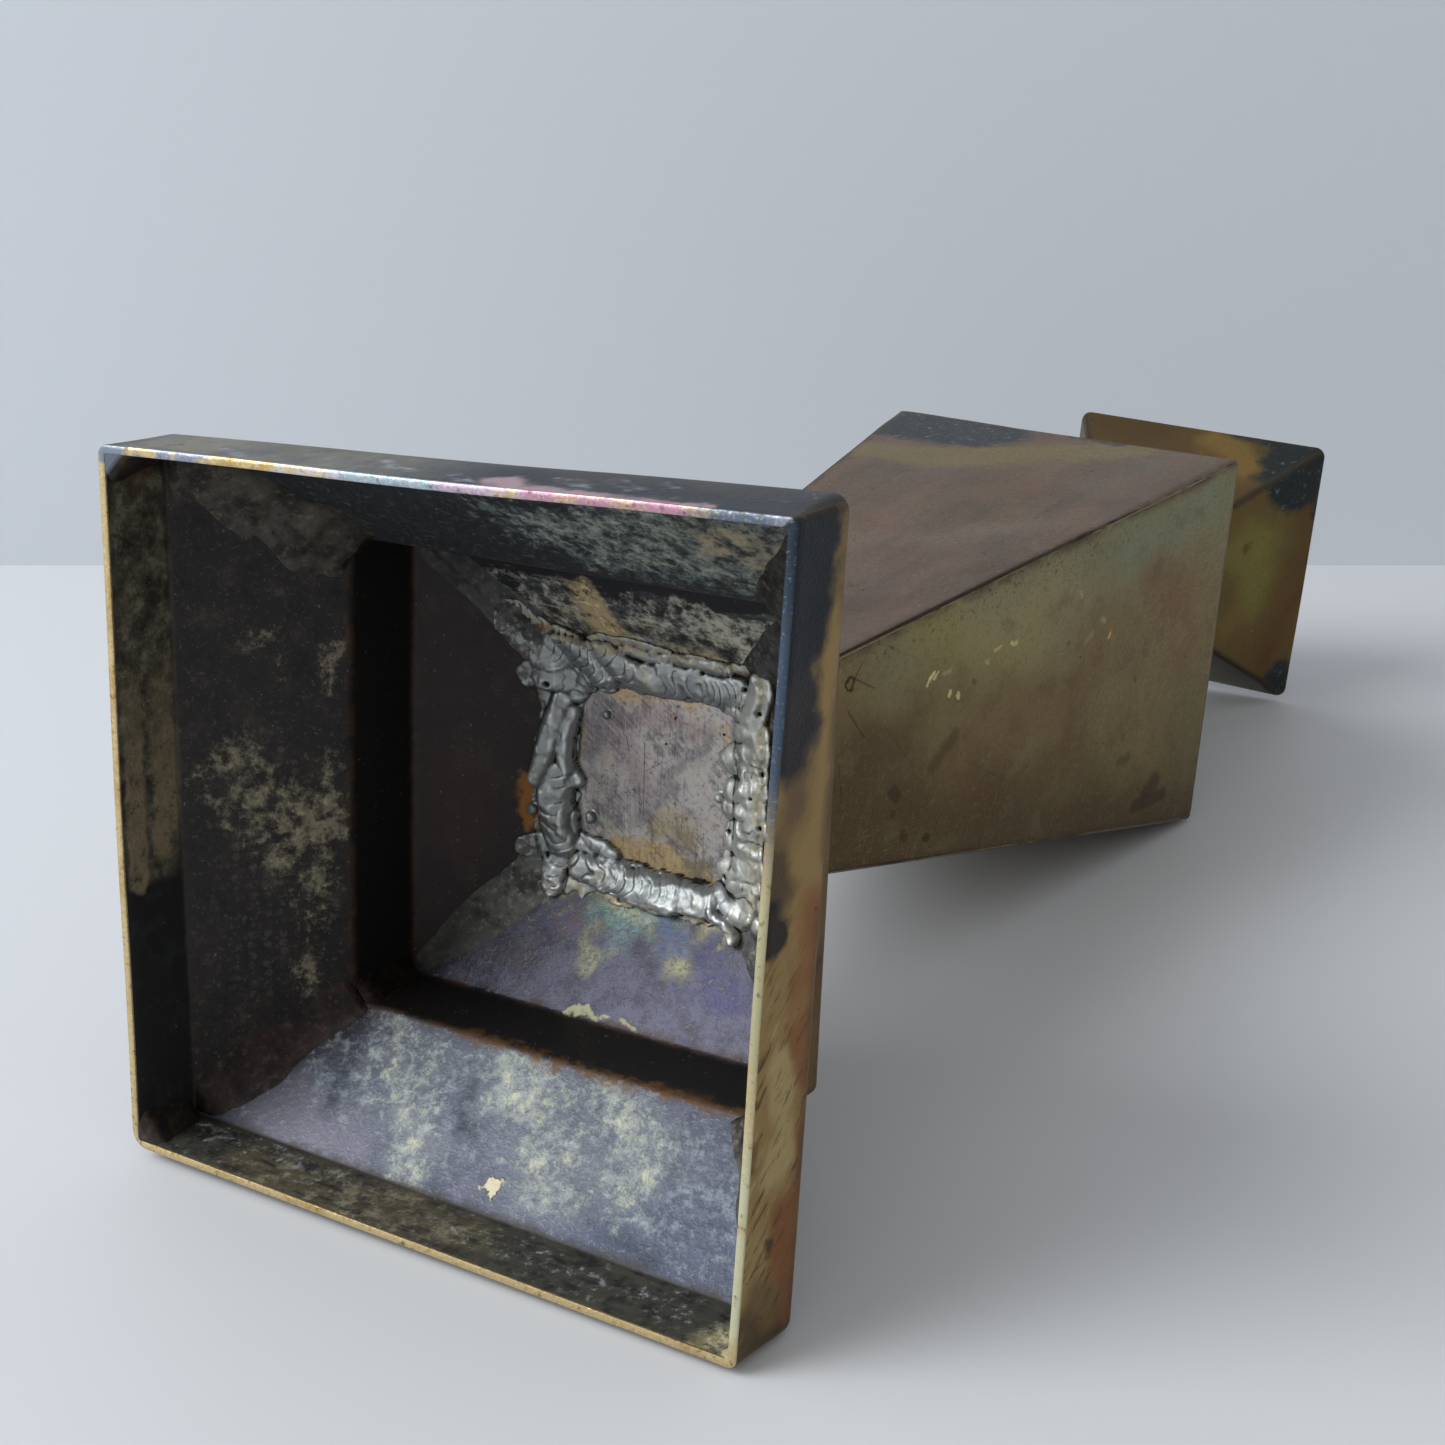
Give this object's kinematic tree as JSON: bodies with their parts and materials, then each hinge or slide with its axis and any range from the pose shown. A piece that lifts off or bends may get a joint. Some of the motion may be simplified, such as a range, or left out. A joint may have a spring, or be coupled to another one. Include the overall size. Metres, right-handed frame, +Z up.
{
  "type": "square candlestick",
  "caption": "Free-standing square candlestick of patinated brass sheet: stepped hollow foot, inverted pyramid stem and flared square cup.",
  "frame": {"origin": "centre of the square that the foot's rim stands on", "axes": "+Z up through the stem to the cup; +X and +Y square to the foot's sides"},
  "size_m": [0.1, 0.1, 0.2815],
  "materials": {
    "patinated_sheet": "flame-darkened olive brown brass sheet, waxed, with blue-black heat marks",
    "braze": "dull golden braze, smoothed along the ridges",
    "weld": "rippled grey filler with rust stains and spatter"
  },
  "bodies": {
    "root": {"base_panel_back": "patinated_sheet", "base_panel_front": "patinated_sheet", "base_panel_left": "patinated_sheet", "base_panel_right": "patinated_sheet", "cup_floor": "patinated_sheet", "cup_panel_back": "patinated_sheet", "cup_panel_front": "patinated_sheet", "cup_panel_left": "patinated_sheet", "cup_panel_right": "patinated_sheet", "cup_seam_back_left": "braze", "cup_seam_back_right": "braze", "cup_seam_front_left": "braze", "cup_seam_front_right": "braze", "floor_weld_back": "weld", "floor_weld_front": "weld", "floor_weld_left": "weld", "floor_weld_right": "weld", "lower_corner_braze_back_left": "braze", "lower_corner_braze_back_right": "braze", "lower_corner_braze_front_left": "braze", "lower_corner_braze_front_right": "braze", "riser_corner_braze": "braze", "shoulder_panel_back": "patinated_sheet", "shoulder_panel_front": "patinated_sheet", "shoulder_panel_left": "patinated_sheet", "shoulder_panel_right": "patinated_sheet", "shoulder_seam_back_left": "braze", "shoulder_seam_back_right": "braze", "shoulder_seam_front_left": "braze", "shoulder_seam_front_right": "braze", "skirt_corner_solder": "braze", "stem_floor_plate": "patinated_sheet", "stem_panel_back": "patinated_sheet", "stem_panel_front": "patinated_sheet", "stem_panel_left": "patinated_sheet", "stem_panel_right": "patinated_sheet", "stem_seam_back_left": "braze", "stem_seam_back_right": "braze", "stem_seam_front_left": "braze", "stem_seam_front_right": "braze", "upper_corner_braze_back_left": "braze", "upper_corner_braze_back_right": "braze", "upper_corner_braze_front_left": "braze", "upper_corner_braze_front_right": "braze", "waist_bead": "braze", "weld_spatter": "weld", "wide_end_seam": "braze"}
  },
  "joints": []
}
